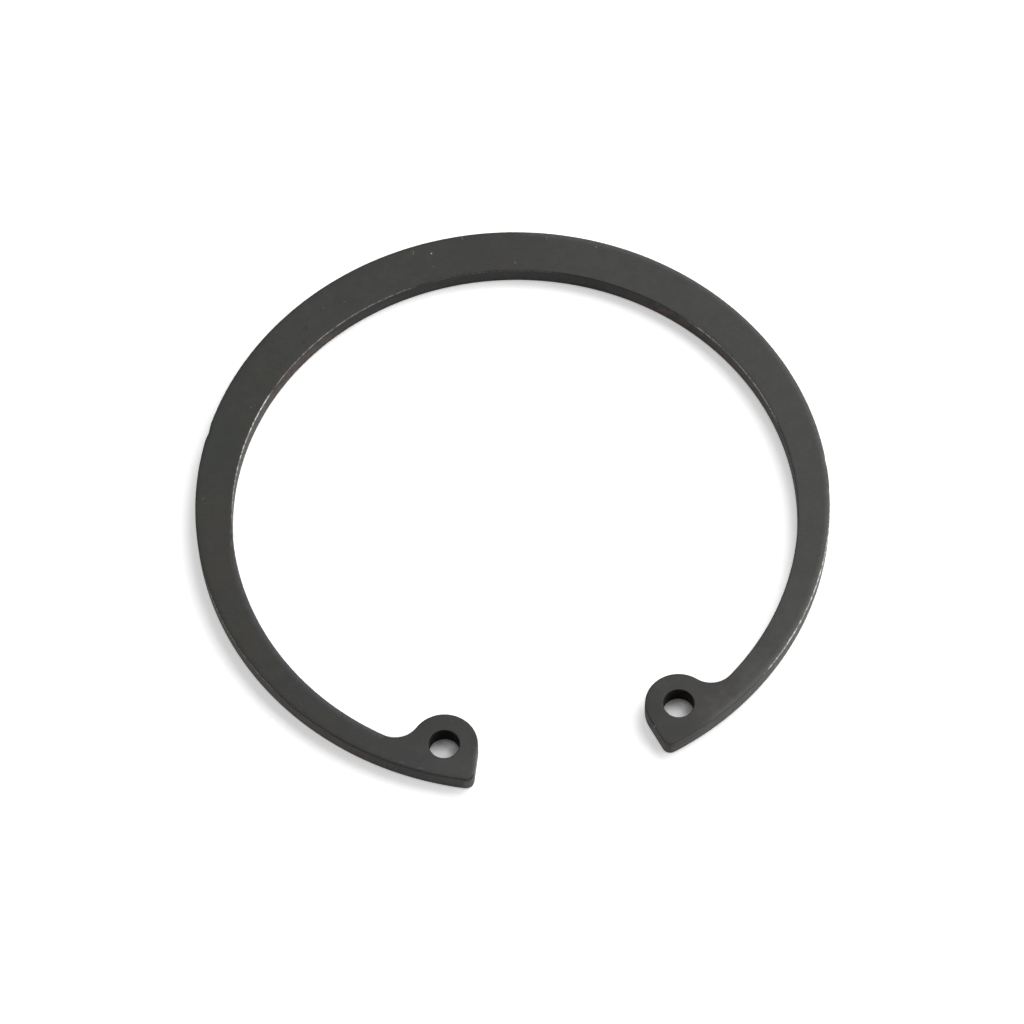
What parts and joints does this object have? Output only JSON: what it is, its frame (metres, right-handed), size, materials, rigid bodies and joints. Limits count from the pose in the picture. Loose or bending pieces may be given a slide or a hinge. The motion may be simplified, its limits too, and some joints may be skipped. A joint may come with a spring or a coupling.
{
  "type": "circlip retaining ring",
  "caption": "Flat open spring ring for a groove inside a bore, widest at its back, with a round lug and plier hole at each end of its gap.",
  "frame": {"origin": "axis of the rim, at the lower face", "axes": "+Z normal to the flat ring, towards its upper face, whose edges are more rounded; -Y towards the gap; X across the gap"},
  "size_m": [0.0662, 0.0644, 0.002],
  "materials": {
    "blackened_steel": "dark grey phosphate, lightly oiled, worn to bare metal along some edges"
  },
  "bodies": {
    "root": {"retaining_ring": "blackened_steel"}
  },
  "joints": []
}
